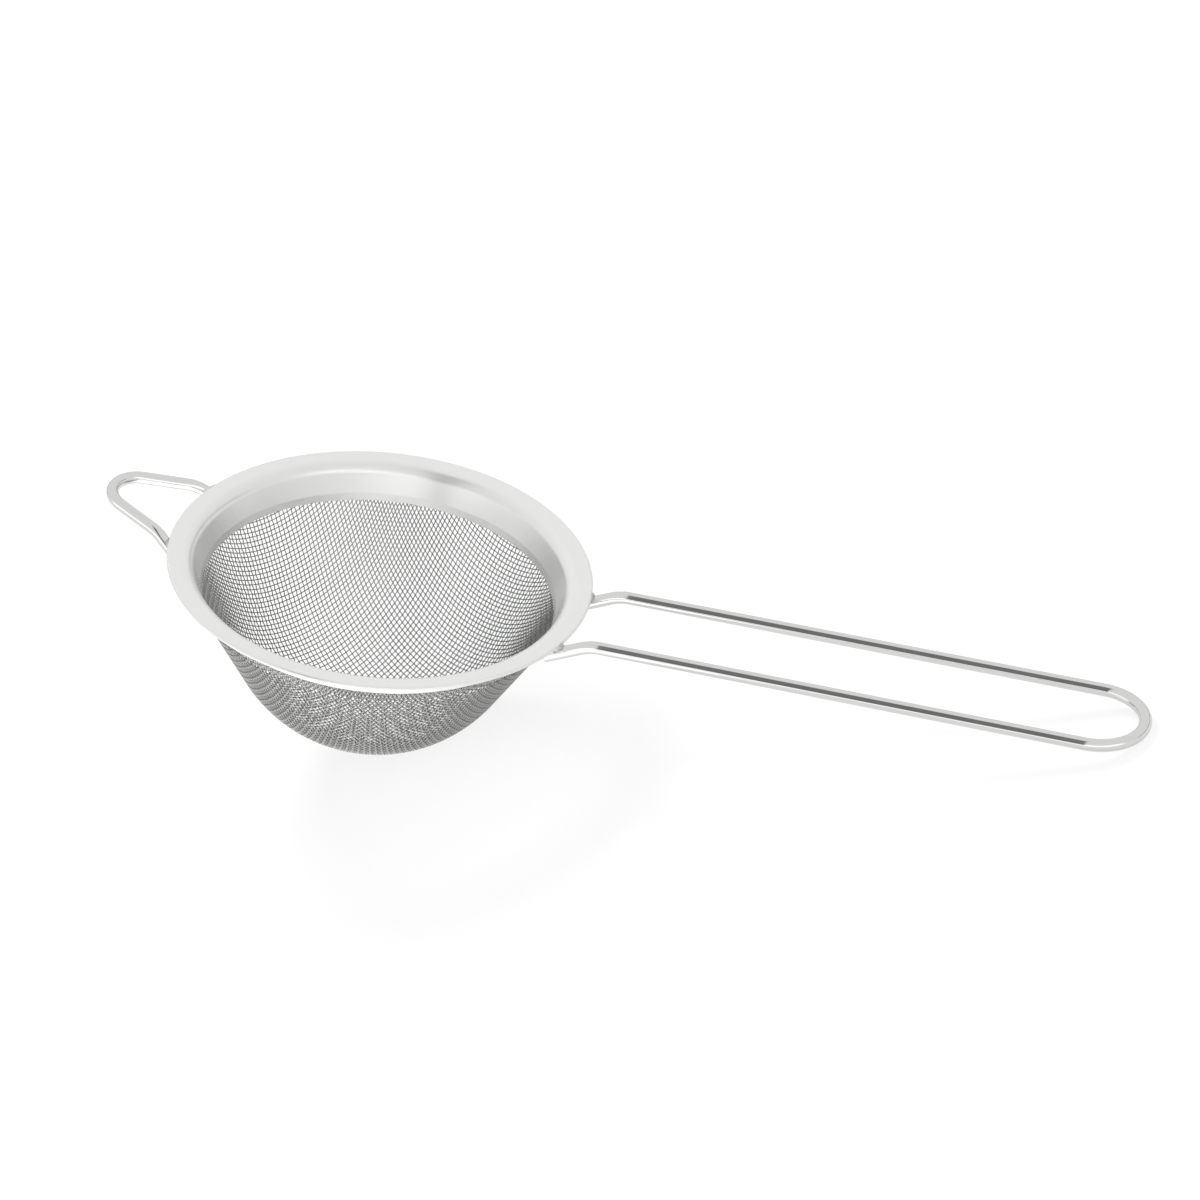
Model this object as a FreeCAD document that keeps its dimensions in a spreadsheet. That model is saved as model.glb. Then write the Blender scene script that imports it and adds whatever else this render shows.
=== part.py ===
import FreeCAD, Part
import math
import os
import Sketcher
from FreeCAD import Placement, Rotation, Vector

# Tea strainer: a stamped rim, a woven wire bowl, a ring that traps the cloth,
# a hairpin wire handle and a wire rest hook.  Millimetres and degrees.
# Drawn about the rim's own axis, with the hem's top at height 0, then laid down
# at its real rest: the bowl and the tip of the handle both touch the table.

sizes = {
    # rim, pressed from one sheet
    "throat_radius": 36.0,     # foot of the wall, on the inside
    "throat_depth": 6.2,
    "brim_width": 7.0,         # throat to the outside of the rolled hem
    "hem_radius": 0.45,        # the roll itself
    "rim_sheet": 0.3,
    "brim_slope": 5.0,         # the brim falls inwards this much
    "fold_radius": 3.0,        # where the brim rolls over into the wall
    "wall_slope": 70.0,
    "collar_slope": 80.0,
    "collar_drop": 1.6,
    # woven bowl
    "cloth": 0.46,             # two wires thick
    "cloth_climb": 2.9,        # how far the cloth climbs the wall above the throat, outside it
    "bowl_slope": 60.9,
    "bowl_round": 31.4,        # radius of the round bottom, middle of the cloth
    # ring that traps the cloth's edge
    "clamp_sheet": 0.3,
    "clamp_band": 1.2,
    "seat_gap": 0.1,           # between pieces that lie on each other
    # bent wires
    "wire_radius": 1.25,
    "tuck_slope": 30.0,        # the wires dive under the hem at this slope
    "wire_inset": 2.6,         # and end this far inside the hem
    "handle_length": 112.7,    # outside of the hem to the middle of the wire at the tip
    "handle_half_gap": 9.8,
    "handle_rise": 5.3,
    "handle_knee": 4.7,        # outside of the hem to the bend beside it
    "handle_bend": 10.0,
    "hook_length": 15.5,
    "hook_tip_radius": 6.2,
    "hook_flare": 22.0,        # each leg opens this much towards the rim
    "hook_rise": 6.6,
    "hook_knee": 1.8,
    "hook_bend": 8.0,
    "weld_radius": 1.1,
}

document = FreeCAD.newDocument("tea_strainer")
sheet = document.addObject("Spreadsheet::Sheet", "sizes")
for row, (name, value) in enumerate(sizes.items(), start=1):
    sheet.set(f"A{row}", name)
    sheet.set(f"B{row}", str(value))
    sheet.setAlias(f"B{row}", name)
document.recompute()


def size(name):
    return float(sheet.get(name))


def sine(name):
    return math.sin(math.radians(size(name)))


def cosine(name):
    return math.cos(math.radians(size(name)))


def tangent(name):
    return math.tan(math.radians(size(name)))


# ---- sketched pieces ------------------------------------------------------

def make_body(label):
    body = document.addObject("PartDesign::Body", label)
    body.Label = label
    return body


def upright_sketch(body, name):
    """A sketch on the body's XZ plane: across is the radius, up is the height."""
    sketch = body.newObject("Sketcher::SketchObject", name)
    plane = next(part for part in body.Origin.OriginFeatures if part.Role == "XZ_Plane")
    sketch.AttachmentSupport = [(plane, "")]
    sketch.MapMode = "FlatFace"
    return sketch


def point(across, up):
    return Vector(across, up, 0)


def arc(centre, start, finish):
    """Arc from start to finish, drawn counterclockwise about the centre."""
    first = math.atan2(start.y - centre.y, start.x - centre.x)
    last = math.atan2(finish.y - centre.y, finish.x - centre.x)
    if last < first:
        last += 2 * math.pi
    circle = Part.Circle(centre, Vector(0, 0, 1), centre.distanceToPoint(start))
    return Part.ArcOfCircle(circle, first, last)


def bind(sketch, kind, places, expression):
    """Add a dimension and tie it to the sheet."""
    value = sketch.evalExpression(expression)
    if hasattr(value, "Value"):
        value = value.Value
    if kind == "Angle":
        value = math.radians(value)
    index = sketch.addConstraint(Sketcher.Constraint(kind, *places, value))
    sketch.setExpression(f"Constraints[{index}]", expression)


def place(sketch, geometry, end, across, up):
    """Fix one end of an edge by its distances from the origin."""
    bind(sketch, "DistanceX", (-1, 1, geometry, end), across)
    bind(sketch, "DistanceY", (-1, 1, geometry, end), up)


def join(sketch, *pairs):
    for first, first_end, second, second_end in pairs:
        sketch.addConstraint(Sketcher.Constraint("Coincident", first, first_end, second, second_end))


def revolve(body, sketch, name):
    turned = body.newObject("PartDesign::Revolution", name)
    turned.Profile = sketch
    turned.ReferenceAxis = (sketch, ["V_Axis"])
    turned.Angle = 360
    sketch.Visibility = False
    return turned


def meeting(start, slope, other, other_slope):
    """Where two straight lines cross, each given by a point and a direction angle."""
    ahead = Vector(math.cos(slope), math.sin(slope), 0)
    across = Vector(math.cos(other_slope), math.sin(other_slope), 0)
    reach = (other - start).cross(across).z / ahead.cross(across).z
    return start + ahead * reach


# ---- rim: hem, brim, rounded fold, wall and collar, one sheet throughout ----

def slope_vector(name):
    return Vector(cosine(name), sine(name), 0)


def upward(vector):
    """The direction square to a slope, on its upper and inner side."""
    return Vector(-vector.y, vector.x, 0)


rim_radius = size("throat_radius") + size("brim_width")
hem_centre = point(rim_radius - size("hem_radius"), -size("hem_radius"))
brim_run = slope_vector("brim_slope")
wall_run = slope_vector("wall_slope")
collar_run = slope_vector("collar_slope")
rim_sheet = size("rim_sheet")
throat = point(size("throat_radius"), -size("throat_depth"))
collar_foot = throat - collar_run * (size("collar_drop") / sine("collar_slope"))


def rim_outline(offset):
    """Corners of the sheet's upper face, or of a face parallel to it below."""
    brim_point = hem_centre + upward(brim_run) * (size("hem_radius") - offset)
    wall_point = throat - upward(wall_run) * offset
    collar_point = throat - upward(collar_run) * offset
    brim_angle = math.radians(size("brim_slope"))
    wall_angle = math.radians(size("wall_slope"))
    corner = meeting(brim_point, brim_angle, wall_point, wall_angle)
    turn = (wall_angle - brim_angle) / 2
    trim = (size("fold_radius") - offset) * math.tan(turn)
    fold_start = corner + brim_run * trim
    fold_finish = corner - wall_run * trim
    throat_corner = meeting(wall_point, wall_angle, collar_point, math.radians(size("collar_slope")))
    foot = collar_foot - upward(collar_run) * offset
    centre = fold_start - upward(brim_run) * (size("fold_radius") - offset)
    return brim_point, fold_start, centre, fold_finish, throat_corner, foot


def make_rim():
    body = make_body("rim")
    sketch = upright_sketch(body, "rim_outline")
    upper = rim_outline(0)
    lower = rim_outline(rim_sheet)
    edges = [
        Part.LineSegment(upper[0], upper[1]),       # 0 brim, top face
        arc(upper[2], upper[1], upper[3]),          # 1 fold, top face
        Part.LineSegment(upper[3], upper[4]),       # 2 wall, inner face
        Part.LineSegment(upper[4], upper[5]),       # 3 collar, inner face
        Part.LineSegment(upper[5], lower[5]),       # 4 collar's cut edge
        Part.LineSegment(lower[5], lower[4]),       # 5 collar, outer face
        Part.LineSegment(lower[4], lower[3]),       # 6 wall, outer face
        arc(lower[2], lower[1], lower[3]),          # 7 fold, underside
        Part.LineSegment(lower[1], lower[0]),       # 8 brim, underside
        Part.LineSegment(lower[0], upper[0]),       # 9 edge inside the hem
    ]
    for edge in edges:
        sketch.addGeometry(edge, False)
    add = lambda *given: sketch.addConstraint(Sketcher.Constraint(*given))
    add("Tangent", 0, 2, 1, 1)
    add("Tangent", 1, 2, 2, 1)
    join(sketch, (2, 2, 3, 1), (3, 2, 4, 1), (4, 2, 5, 1), (5, 2, 6, 1))
    add("Tangent", 6, 2, 7, 2)
    add("Tangent", 7, 1, 8, 1)
    join(sketch, (8, 2, 9, 1), (9, 2, 0, 1), (1, 3, 7, 3))
    add("Perpendicular", 9, 0)
    add("Perpendicular", 4, 3)
    add("Parallel", 5, 3)
    add("Parallel", 6, 2)
    add("Parallel", 8, 0)
    hem_across = "(sizes.throat_radius + sizes.brim_width - sizes.hem_radius)"
    place(sketch, 0, 1, f"{hem_across} - sizes.hem_radius * sin(sizes.brim_slope)",
          "-sizes.hem_radius + sizes.hem_radius * cos(sizes.brim_slope)")
    place(sketch, 2, 2, "sizes.throat_radius", "-sizes.throat_depth")
    place(sketch, 3, 2, "sizes.throat_radius - sizes.collar_drop / tan(sizes.collar_slope)",
          "-sizes.throat_depth - sizes.collar_drop")
    bind(sketch, "Angle", (8,), "sizes.brim_slope * 1deg")
    bind(sketch, "Angle", (6,), "sizes.wall_slope * 1deg")
    bind(sketch, "Radius", (1,), "sizes.fold_radius")
    bind(sketch, "Radius", (7,), "sizes.fold_radius - sizes.rim_sheet")
    bind(sketch, "Distance", (4,), "sizes.rim_sheet")
    revolve(body, sketch, "rim_sheet")
    document.recompute()
    hem = upright_sketch(body, "hem_outline")
    hem.addGeometry(Part.Circle(hem_centre, Vector(0, 0, 1), size("hem_radius")), False)
    place(hem, 0, 3, hem_across, "-sizes.hem_radius")
    bind(hem, "Radius", (0,), "sizes.hem_radius")
    revolve(body, hem, "rolled_hem")
    return body


# ---- bowl: woven cloth, its edge climbing the outside of the wall ----

# the slope and the round bottom are laid off from the collar's foot
cloth_seat = "(sizes.rim_sheet + sizes.seat_gap)"
foot_across = "(sizes.throat_radius - sizes.collar_drop / tan(sizes.collar_slope))"
foot_height = "(-sizes.throat_depth - sizes.collar_drop)"
bowl_run = slope_vector("bowl_slope")
cloth_inside = collar_foot - upward(collar_run) * (rim_sheet + size("seat_gap"))
cloth_half = size("cloth") / 2


def bowl_centre():
    """The round bottom's centre, on the axis, so that the wall runs on smoothly."""
    inside = size("bowl_round") - cloth_half
    height = cloth_inside.y - cloth_inside.x * tangent("bowl_slope") + inside / cosine("bowl_slope")
    return point(0, height)


def bowl_outline(offset):
    """Corners of the cloth's inner face, or of a face parallel to it outside."""
    foot = cloth_inside - upward(collar_run) * offset
    slope_point = cloth_inside - upward(bowl_run) * offset
    behind = rim_sheet + size("seat_gap") + offset
    wall_point = throat - upward(wall_run) * behind
    wall_angle, collar_angle, bowl_angle = (math.radians(size(name)) for name in
                                            ("wall_slope", "collar_slope", "bowl_slope"))
    top = wall_point + wall_run * size("cloth_climb")
    upper = meeting(wall_point, wall_angle, foot, collar_angle)
    corner = meeting(foot, collar_angle, slope_point, bowl_angle)
    radius = size("bowl_round") - cloth_half + offset
    last = bowl_centre() - upward(bowl_run) * radius
    pole = bowl_centre() - point(0, radius)
    return top, upper, corner, last, pole


def make_bowl():
    body = make_body("mesh_bowl")
    sketch = upright_sketch(body, "cloth_outline")
    inner = bowl_outline(0)
    outer = bowl_outline(size("cloth"))
    edges = [
        Part.LineSegment(inner[0], inner[1]),       # 0 along the wall, inner face
        Part.LineSegment(inner[1], inner[2]),       # 1 along the collar, inner face
        Part.LineSegment(inner[2], inner[3]),       # 2 slope, inner face
        arc(bowl_centre(), inner[4], inner[3]),     # 3 round bottom, inner face
        Part.LineSegment(inner[4], outer[4]),       # 4 on the axis
        arc(bowl_centre(), outer[4], outer[3]),     # 5 round bottom, outer face
        Part.LineSegment(outer[3], outer[2]),       # 6 slope, outer face
        Part.LineSegment(outer[2], outer[1]),       # 7 along the collar, outer face
        Part.LineSegment(outer[1], outer[0]),       # 8 along the wall, outer face
        Part.LineSegment(outer[0], inner[0]),       # 9 raw edge of the cloth
    ]
    for edge in edges:
        sketch.addGeometry(edge, False)
    add = lambda *given: sketch.addConstraint(Sketcher.Constraint(*given))
    join(sketch, (0, 2, 1, 1), (1, 2, 2, 1), (3, 1, 4, 1), (4, 2, 5, 1))
    join(sketch, (6, 2, 7, 1), (7, 2, 8, 1), (8, 2, 9, 1), (9, 2, 0, 1), (3, 3, 5, 3))
    add("Tangent", 2, 2, 3, 2)
    add("Tangent", 5, 2, 6, 1)
    add("PointOnObject", 3, 3, -2)
    add("PointOnObject", 3, 1, -2)
    add("PointOnObject", 5, 1, -2)
    add("Parallel", 8, 0)
    add("Parallel", 7, 1)
    add("Parallel", 6, 2)
    add("Perpendicular", 9, 0)
    bind(sketch, "Angle", (6,), "sizes.bowl_slope * 1deg")
    bind(sketch, "Angle", (7,), "sizes.collar_slope * 1deg")
    bind(sketch, "Angle", (8,), "sizes.wall_slope * 1deg")
    bind(sketch, "Radius", (3,), "sizes.bowl_round - sizes.cloth / 2")
    bind(sketch, "Radius", (5,), "sizes.bowl_round + sizes.cloth / 2")
    bind(sketch, "Distance", (9,), "sizes.cloth")
    place(sketch, 1, 2, f"{foot_across} + {cloth_seat} * sin(sizes.collar_slope)",
          f"{foot_height} - {cloth_seat} * cos(sizes.collar_slope)")
    behind_across = f"sizes.throat_radius + {cloth_seat} * sin(sizes.wall_slope)"
    behind_height = f"-sizes.throat_depth - {cloth_seat} * cos(sizes.wall_slope)"
    place(sketch, 0, 1, f"{behind_across} + sizes.cloth_climb * cos(sizes.wall_slope)",
          f"{behind_height} + sizes.cloth_climb * sin(sizes.wall_slope)")
    revolve(body, sketch, "cloth_shell")
    return body


# ---- clamp ring: a narrow strip round the cloth's edge, high on the wall ----

def make_clamp():
    body = make_body("clamp_ring")
    sketch = upright_sketch(body, "strip_outline")
    seat = rim_sheet + size("cloth") + 2 * size("seat_gap")
    low = throat - upward(wall_run) * seat + wall_run * (size("cloth_climb") - size("clamp_band"))
    high = low + wall_run * size("clamp_band")
    outward = upward(wall_run) * -size("clamp_sheet")
    corners = [low, low + outward, high + outward, high]
    for start, finish in zip(corners, corners[1:] + corners[:1]):
        sketch.addGeometry(Part.LineSegment(start, finish), False)
    join(sketch, *[(edge, 2, (edge + 1) % 4, 1) for edge in range(4)])
    add = lambda *given: sketch.addConstraint(Sketcher.Constraint(*given))
    add("Parallel", 3, 1)
    add("Parallel", 2, 0)
    add("Perpendicular", 0, 1)
    bind(sketch, "Angle", (1,), "sizes.wall_slope * 1deg")
    bind(sketch, "Distance", (0,), "sizes.clamp_sheet")
    bind(sketch, "Distance", (1,), "sizes.clamp_band")
    across = "(sizes.rim_sheet + sizes.cloth + 2 * sizes.seat_gap)"
    along = "(sizes.cloth_climb - sizes.clamp_band)"
    place(sketch, 0, 1,
          f"sizes.throat_radius + {across} * sin(sizes.wall_slope) + {along} * cos(sizes.wall_slope)",
          f"-sizes.throat_depth - {across} * cos(sizes.wall_slope) + {along} * sin(sizes.wall_slope)")
    revolve(body, sketch, "strip")
    return body


# ---- bent wires: straight runs joined by arcs that touch both ----

def bent_wire(label, corners, radii, wire_radius):
    """Round wire along a chain of corners, each inner corner rounded to its radius."""
    edges = []
    last = corners[0]
    for before, corner, after, radius in zip(corners, corners[1:], corners[2:], radii):
        back = (before - corner).normalize()
        ahead = (after - corner).normalize()
        half_turn = (math.pi - back.getAngle(ahead)) / 2
        trim = radius * math.tan(half_turn)
        start = corner + back * trim
        finish = corner + ahead * trim
        middle = corner + (back + ahead).normalize() * (radius / math.cos(half_turn) - radius)
        if last.distanceToPoint(start) > 1e-6:
            edges.append(Part.LineSegment(last, start).toShape())
        edges.append(Part.Arc(start, middle, finish).toShape())
        last = finish
    edges.append(Part.LineSegment(last, corners[-1]).toShape())
    path = Part.Wire(edges)
    section = Part.Circle(corners[0], corners[1] - corners[0], wire_radius).toShape()
    wire = document.addObject("Part::Feature", label)
    wire.Label = label
    wire.Shape = path.makePipeShell([Part.Wire([section])], True, False)
    wire_volume = math.pi * wire_radius ** 2 * path.Length
    if abs(wire.Shape.Volume / wire_volume - 1) > 0.001:
        raise RuntimeError(f"{label} does not fill its path")
    return wire


def leg_corners(knee_across, knee_side, flare, side):
    """Inner end, knee and hem crossing of a leg that dives under the hem.

    In plan the leg runs inwards from the knee along the flare, and meets the
    circle of the hem's middle at hem_point.  It passes below the hem there by
    both radii and the seat gap, measured square to the wire.
    """
    ahead = Vector(-math.cos(flare), math.sin(flare), 0)
    knee = Vector(knee_across, knee_side, 0)
    along = knee.dot(ahead)
    half_chord = math.sqrt(along ** 2 - knee.dot(knee) + hem_centre.x ** 2)
    hem_run = -along - half_chord
    hem_point = knee + ahead * hem_run
    slant = half_chord / hem_centre.x
    fall = tangent("tuck_slope")
    clearance = size("hem_radius") + size("wire_radius") + size("seat_gap")
    hem_height = hem_centre.y - clearance * math.sqrt(1 + (fall / slant) ** 2)
    knee.z = hem_height + hem_run * fall
    end = hem_point + ahead * size("wire_inset")
    end.z = hem_height - size("wire_inset") * fall
    crossing = hem_point + Vector(0, 0, hem_height)
    return [Vector(spot.x, spot.y * side, spot.z) for spot in (end, knee, crossing)]


def make_handle():
    half_gap = size("handle_half_gap")
    knee_across = rim_radius + size("handle_knee")
    near = leg_corners(knee_across, half_gap, 0, -1)
    far = leg_corners(knee_across, half_gap, 0, 1)
    tip_height = near[1].z + (size("handle_length") - size("handle_knee")) * tangent("handle_rise")
    tip_across = rim_radius + size("handle_length")
    tip_corners = [Vector(tip_across, side * half_gap, tip_height) for side in (-1, 1)]
    corners = near[:2] + tip_corners + [far[1], far[0]]
    bends = [size("handle_bend"), half_gap, half_gap, size("handle_bend")]
    wire = bent_wire("handle_wire", corners, bends, size("wire_radius"))
    return wire, Vector(tip_across, 0, tip_height), [near[2], far[2]]


def make_hook():
    flare = math.radians(size("hook_flare"))
    tip_radius = size("hook_tip_radius")
    tip_across = rim_radius + size("hook_length")
    knee_across = rim_radius + size("hook_knee")
    apex_across = tip_across - tip_radius + tip_radius / math.sin(flare)
    knee_side = (apex_across - knee_across) * math.tan(flare)
    near = leg_corners(knee_across, knee_side, flare, -1)
    far = leg_corners(knee_across, knee_side, flare, 1)
    apex_height = near[1].z + (apex_across - knee_across) * tangent("hook_rise")
    tip_height = near[1].z + (tip_across - knee_across) * tangent("hook_rise")
    corners = [near[0], near[1], Vector(apex_across, 0, apex_height), far[1], far[0]]
    turned = [Vector(-corner.x, corner.y, corner.z) for corner in corners]
    bends = [size("hook_bend"), tip_radius, size("hook_bend")]
    wire = bent_wire("rest_hook", turned, bends, size("wire_radius"))
    spots = [Vector(-spot.x, spot.y, spot.z) for spot in (near[2], far[2])]
    return wire, Vector(-tip_across, 0, tip_height), spots


# ---- welds: a small bead of metal where each wire crosses the hem ----

def make_welds(label, wire, spots):
    beads = []
    for spot in spots:
        ring_point = Vector(spot.x, spot.y, 0)
        ring_point = ring_point.normalize() * hem_centre.x + Vector(0, 0, hem_centre.y)
        share = size("hem_radius") / (size("hem_radius") + size("wire_radius"))
        middle = ring_point + (spot - ring_point) * share
        beads.append(Part.makeSphere(size("weld_radius"), middle))
    welds = document.addObject("Part::Feature", label)
    welds.Label = label
    welds.Shape = Part.makeCompound(beads).cut(Part.makeCompound([rim.Shape, wire.Shape]))
    return welds


# ---- rest: the round bottom and the handle's tip both touch the table ----

def rest_placement(handle_end, hook_end):
    """Tilt about Y until both ends of the part touch the table.

    The bottom's centre then lies its own radius above the table, and the middle
    of the handle's tip one wire radius: across * sin(tilt) + lift * cos(tilt)
    equals the difference.  The length's middle comes to the origin.
    """
    lift = bowl_centre().y - handle_end.z
    bowl_outside = size("bowl_round") + cloth_half
    difference = bowl_outside - size("wire_radius")
    tilt = math.asin(difference / math.hypot(handle_end.x, lift)) - math.atan2(lift, handle_end.x)
    turn = Rotation(Vector(0, 1, 0), math.degrees(tilt))
    height = bowl_outside - bowl_centre().y * math.cos(tilt)
    front = turn.multVec(handle_end).x + size("wire_radius")
    back = turn.multVec(hook_end).x - size("wire_radius")
    return Placement(Vector(-(front + back) / 2, 0, height), turn)


rim = make_rim()
mesh_bowl = make_bowl()
clamp_ring = make_clamp()
document.recompute()
handle_wire, handle_tip, handle_spots = make_handle()
rest_hook, hook_tip, hook_spots = make_hook()
handle_welds = make_welds("handle_welds", handle_wire, handle_spots)
hook_welds = make_welds("hook_welds", rest_hook, hook_spots)

parts = [rim, mesh_bowl, clamp_ring, handle_wire, rest_hook, handle_welds, hook_welds]
for part in parts:
    part.Placement = rest_placement(handle_tip, hook_tip)
document.recompute()

for thing in document.Objects:
    if "Invalid" in thing.State or "Error" in thing.State:
        raise RuntimeError(f"{thing.Label} failed: {thing.State}")
for part in parts:
    if part.Shape.isNull() or not part.Shape.isValid():
        raise RuntimeError(f"{part.Label} has no valid shape")

os.makedirs("parts", exist_ok=True)
for part in parts:
    part.Shape.exportStep(f"parts/{part.Label}.step")
    print(part.Label, len(part.Shape.Solids), "solids", round(part.Shape.Volume, 1), "mm3")
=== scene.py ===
import math
import bpy
import numpy as np
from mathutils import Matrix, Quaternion, Vector


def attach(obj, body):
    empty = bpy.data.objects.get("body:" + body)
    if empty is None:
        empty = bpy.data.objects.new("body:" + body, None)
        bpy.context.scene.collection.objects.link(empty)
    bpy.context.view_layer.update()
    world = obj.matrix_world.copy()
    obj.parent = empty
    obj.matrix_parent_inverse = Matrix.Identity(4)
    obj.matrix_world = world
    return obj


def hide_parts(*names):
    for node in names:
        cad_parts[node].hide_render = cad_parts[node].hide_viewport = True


# A stainless steel tea strainer: lathed rim, bent wires and a bowl woven from single wires.
# The pieces are worked out in millimetres about the rim's own axis, with the hem's top at
# height 0 and x towards the handle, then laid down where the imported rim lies.

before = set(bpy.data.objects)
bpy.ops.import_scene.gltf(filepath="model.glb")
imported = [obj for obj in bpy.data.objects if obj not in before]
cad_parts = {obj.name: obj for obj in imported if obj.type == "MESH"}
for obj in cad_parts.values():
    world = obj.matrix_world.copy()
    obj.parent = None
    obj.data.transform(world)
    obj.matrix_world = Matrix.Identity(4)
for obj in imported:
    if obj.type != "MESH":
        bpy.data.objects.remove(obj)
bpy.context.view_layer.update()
millimetres = 1000             # in a metre
seatGap = 0.1                  # clearance between two pieces that seat on each other
# the rim's tilt is looked for in these degrees, and each round narrows the reach
tiltSearch = {"middle": 20, "reach": 20, "rounds": 5, "tries": 21, "narrowing": 8}


def nodeSpots(node):
    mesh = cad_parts[node].data
    spots = np.empty(len(mesh.vertices) * 3)
    mesh.vertices.foreach_get("co", spots)
    return spots.reshape(-1, 3) * millimetres


def findRimRest():
    # the rim lies at the tilt about Y that makes its height least
    spots = nodeSpots("rim")
    tilt, reach = math.radians(tiltSearch["middle"]), math.radians(tiltSearch["reach"])
    for _ in range(tiltSearch["rounds"]):
        tilts = tilt + reach * np.linspace(-1, 1, tiltSearch["tries"])
        heights = np.outer(np.sin(tilts), spots[:, 0]) + np.outer(np.cos(tilts), spots[:, 2])
        tilt = tilts[np.argmin(np.ptp(heights, axis=1))]
        reach /= tiltSearch["narrowing"]
    heights = spots[:, 0] * math.sin(tilt) + spots[:, 2] * math.cos(tilt)
    lengths = spots[:, 0] * math.cos(tilt) - spots[:, 2] * math.sin(tilt)
    return tilt, (lengths.max() + lengths.min()) / 2, heights.max()


rimTilt, rimAlong, rimHigh = findRimRest()


def toRow(points):
    # turn by the tilt about Y, row x = x cos + z sin, row z = z cos - x sin, then to metres
    along, side, up = np.moveaxis(np.asarray(points, float), -1, 0)
    along, up = along + rimAlong, up + rimHigh
    across = along * math.cos(rimTilt) + up * math.sin(rimTilt)
    high = up * math.cos(rimTilt) - along * math.sin(rimTilt)
    return np.stack([across, side, high], -1) / millimetres


creaseAngle = 40               # degrees between two faces, from which their edge is drawn sharp


def makePiece(name, spots, faces, material, replaced, surfaceSpots=None):
    # faces is a list of index arrays, one array for each number of corners
    corners = toRow(spots.reshape(-1, 3))
    used = np.unique(np.concatenate([part.ravel() for part in faces]))
    renumber = np.full(len(corners), -1)
    renumber[used] = np.arange(len(used))
    faceLists = [corner for part in faces for corner in renumber[part].tolist()]
    mesh = bpy.data.meshes.new(name)
    mesh.from_pydata(corners[used].tolist(), [], faceLists)
    mesh.polygons.foreach_set("use_smooth", np.ones(len(mesh.polygons), bool))
    if surfaceSpots is not None:
        layer = mesh.attributes.new("surfaceSpot", "FLOAT_VECTOR", "POINT")
        layer.data.foreach_set("vector", surfaceSpots.reshape(-1, 3)[used].ravel())
    mesh.validate()
    mesh.update()
    mesh.set_sharp_from_angle(angle=math.radians(creaseAngle))
    mesh.materials.append(material)
    piece = bpy.data.objects.new(name, mesh)
    bpy.context.scene.collection.objects.link(piece)
    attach(piece, "root")
    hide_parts(*replaced)
    print("made", name, len(mesh.polygons), "faces")


def gridFaces(rows, columns, closeRows=False, closeColumns=False):
    # quads between neighbouring rows and columns of a grid, wrapping where it closes
    row = np.arange(rows if closeRows else rows - 1)[:, None]
    column = np.arange(columns if closeColumns else columns - 1)[None, :]
    nextRow, nextColumn = (row + 1) % rows, (column + 1) % columns
    corners = [row * columns + column, nextRow * columns + column,
               nextRow * columns + nextColumn, row * columns + nextColumn]
    shape = (len(row), column.shape[1])
    return np.stack([np.broadcast_to(corner, shape) for corner in corners], -1).reshape(-1, 4)


def facingOut(spots, faces):
    # six times the volume is the sum of corner . (next x last); a shell inside out has it negative
    points = spots.reshape(-1, 3)
    total = 0.0
    for part in faces:
        for k in range(1, part.shape[1] - 1):
            a, b, c = points[part[:, 0]], points[part[:, k]], points[part[:, k + 1]]
            total += np.einsum("ij,ij->", a, np.cross(b, c))
    return faces if total > 0 else [part[:, ::-1] for part in faces]


def unit(vectors):
    return vectors / np.linalg.norm(vectors, axis=-1, keepdims=True)


def lathe(profile, turns):
    # each profile point (r, z) turned about z: (r cos a, r sin a, z)
    angle = np.linspace(0, 2 * math.pi, turns, endpoint=False)[:, None]
    radius, height = profile[None, :, 0], profile[None, :, 1]
    return np.stack([radius * np.cos(angle), radius * np.sin(angle), height + 0 * angle], -1)


def cornerArc(before, corner, after, radius, fewest, arcStep=180):
    # an arc that touches both runs; it starts radius / tan(half the inner angle) from the corner
    back, ahead = unit(before - corner), unit(after - corner)
    half = math.acos(np.clip(back @ ahead, -1, 1)) / 2
    spread = math.pi - 2 * half
    centre = corner + unit(back + ahead) * radius / math.sin(half)
    first = corner + back * radius / math.tan(half) - centre
    last = corner + ahead * radius / math.tan(half) - centre
    steps = max(fewest, round(math.degrees(spread) / arcStep))
    share = np.linspace(0, 1, steps)[:, None]
    arc = first * np.sin((1 - share) * spread) + last * np.sin(share * spread)
    return centre + arc / math.sin(spread)


def roundedOutline(corners, radii, steps):
    # straight sides with each corner cut by an arc
    corners = np.asarray(corners, float)
    outline = []
    for k, radius in enumerate(radii):
        if radius == 0:
            outline.append(corners[k:k + 1])
            continue
        following = corners[(k + 1) % len(radii)]
        outline.append(cornerArc(corners[k - 1], corners[k], following, radius, steps))
    return np.concatenate(outline)


sideShares = (0, 0.04, 0.35, 0.65, 0.96)


def supported(outline, longest):
    # adds points along each long side, so that smooth shading stays flat between its ends
    points = []
    following = np.roll(outline, -1, axis=0)
    for start, finish in zip(outline, following):
        length = np.linalg.norm(finish - start)
        shares = sideShares if length > longest else sideShares[:1]
        points += [start + (finish - start) * share for share in shares]
    return np.array(points)


def heading(degrees):
    return np.array([math.cos(math.radians(degrees)), math.sin(math.radians(degrees))])


def leftOf(direction):
    return np.array([-direction[1], direction[0]])


def meeting(start, direction, other, otherDirection):
    # start + t direction lies on the other line where their cross product is nothing
    gap = other - start
    t = (gap[0] * otherDirection[1] - gap[1] * otherDirection[0]) / (
        direction[0] * otherDirection[1] - direction[1] * otherDirection[0])
    return start + direction * t


def toLinear(hexColour):
    shades = np.array([int(hexColour[k:k + 2], 16) for k in (1, 3, 5)]) / 255
    linear = np.where(shades <= 0.04045, shades / 12.92, ((shades + 0.055) / 1.055) ** 2.4)
    return (*linear.tolist(), 1.0)


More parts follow.
